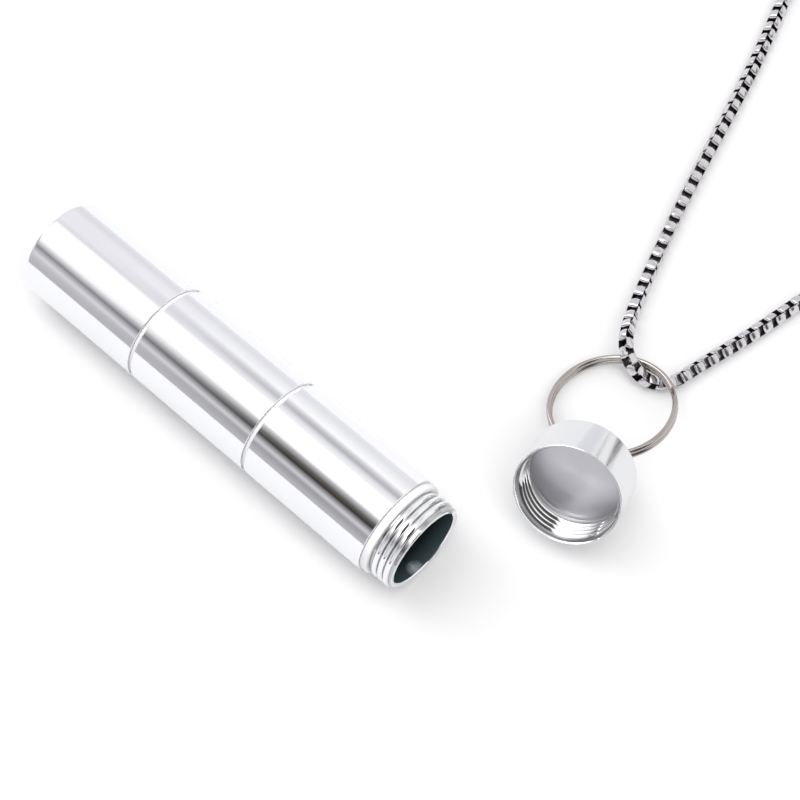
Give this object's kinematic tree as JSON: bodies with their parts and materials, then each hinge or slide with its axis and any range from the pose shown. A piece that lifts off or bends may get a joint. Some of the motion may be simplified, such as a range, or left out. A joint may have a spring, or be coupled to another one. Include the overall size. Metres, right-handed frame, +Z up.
{
  "type": "pill fob keychain",
  "caption": "Polished aluminium pill fob of screwed-together tube chambers with seals, its screw cap taken off and hung by a split ring on a box chain that closes with a lobster clasp.",
  "frame": {"origin": "centre of the tube's open mouth, at the rim of its neck", "axes": "+X along the tube out of the mouth, +Z up from the table that the tube lies on"},
  "size_m": [0.1192, 0.1688, 0.021],
  "materials": {
    "aluminium": "polished",
    "seal": "matte",
    "ring": "nickel plated",
    "chain": "polished stainless",
    "clasp": "polished stainless",
    "spring": "drawn wire",
    "tie": "matte"
  },
  "bodies": {
    "mouth_chamber": {"mouth_chamber": "aluminium", "mouth_seal": "seal"},
    "middle_seal": {"middle_seal": "seal"},
    "middle_chamber": {"middle_chamber": "aluminium"},
    "base_seal": {"base_seal": "seal"},
    "base_chamber": {"base_chamber": "aluminium"},
    "necklace": {"split_ring": "ring", "chain_right_strand": "chain", "chain_bight": "chain", "chain_left_strand": "chain", "chain_coil": "chain", "clasp_body": "clasp", "clasp_pin": "clasp", "clasp_spring": "spring", "clasp_jump_ring": "clasp", "clasp_end_ring": "clasp", "coil_tie": "tie"},
    "cap": {"cap": "aluminium"},
    "clasp_lever": {"clasp_lever": "clasp"}
  },
  "joints": [
    {"name": "middle_out", "type": "slide", "parent": "mouth_chamber", "child": "middle_seal", "axis": [-1, 0, 0], "range_m": [0, 0.00508]},
    {"name": "middle_screw", "type": "hinge", "parent": "middle_seal", "child": "middle_chamber", "pos_m": [-0.0333, 0, 0], "axis": [-1, 0, 0], "range_deg": [0, 1440]},
    {"name": "base_out", "type": "slide", "parent": "middle_chamber", "child": "base_seal", "axis": [-1, 0, 0], "range_m": [0, 0.00508]},
    {"name": "base_screw", "type": "hinge", "parent": "base_seal", "child": "base_chamber", "pos_m": [-0.0606, 0, 0], "axis": [-1, 0, 0], "range_deg": [0, 1440]},
    {"name": "necklace_away", "type": "slide", "parent": "mouth_chamber", "child": "necklace", "axis": [0, 1, 0], "range_m": [0, 0.06]},
    {"name": "cap_swing", "type": "hinge", "parent": "necklace", "child": "cap", "pos_m": [0.00862, 0.03275, -0.00342], "axis": [-0.9055, -0.3919, -0.1627], "range_deg": [0, 95]},
    {"name": "clasp_gate", "type": "hinge", "parent": "necklace", "child": "clasp_lever", "pos_m": [0.01973, 0.10185, -0.00717], "axis": [0, 0, 1], "range_deg": [0, 25], "stiffness_Nm_per_rad": 0.0005}
  ],
  "couplings": [
    {"joint": "middle_out", "follows": "middle_screw", "m_per_rad": 0.00020213},
    {"joint": "base_out", "follows": "base_screw", "m_per_rad": 0.00020213}
  ]
}
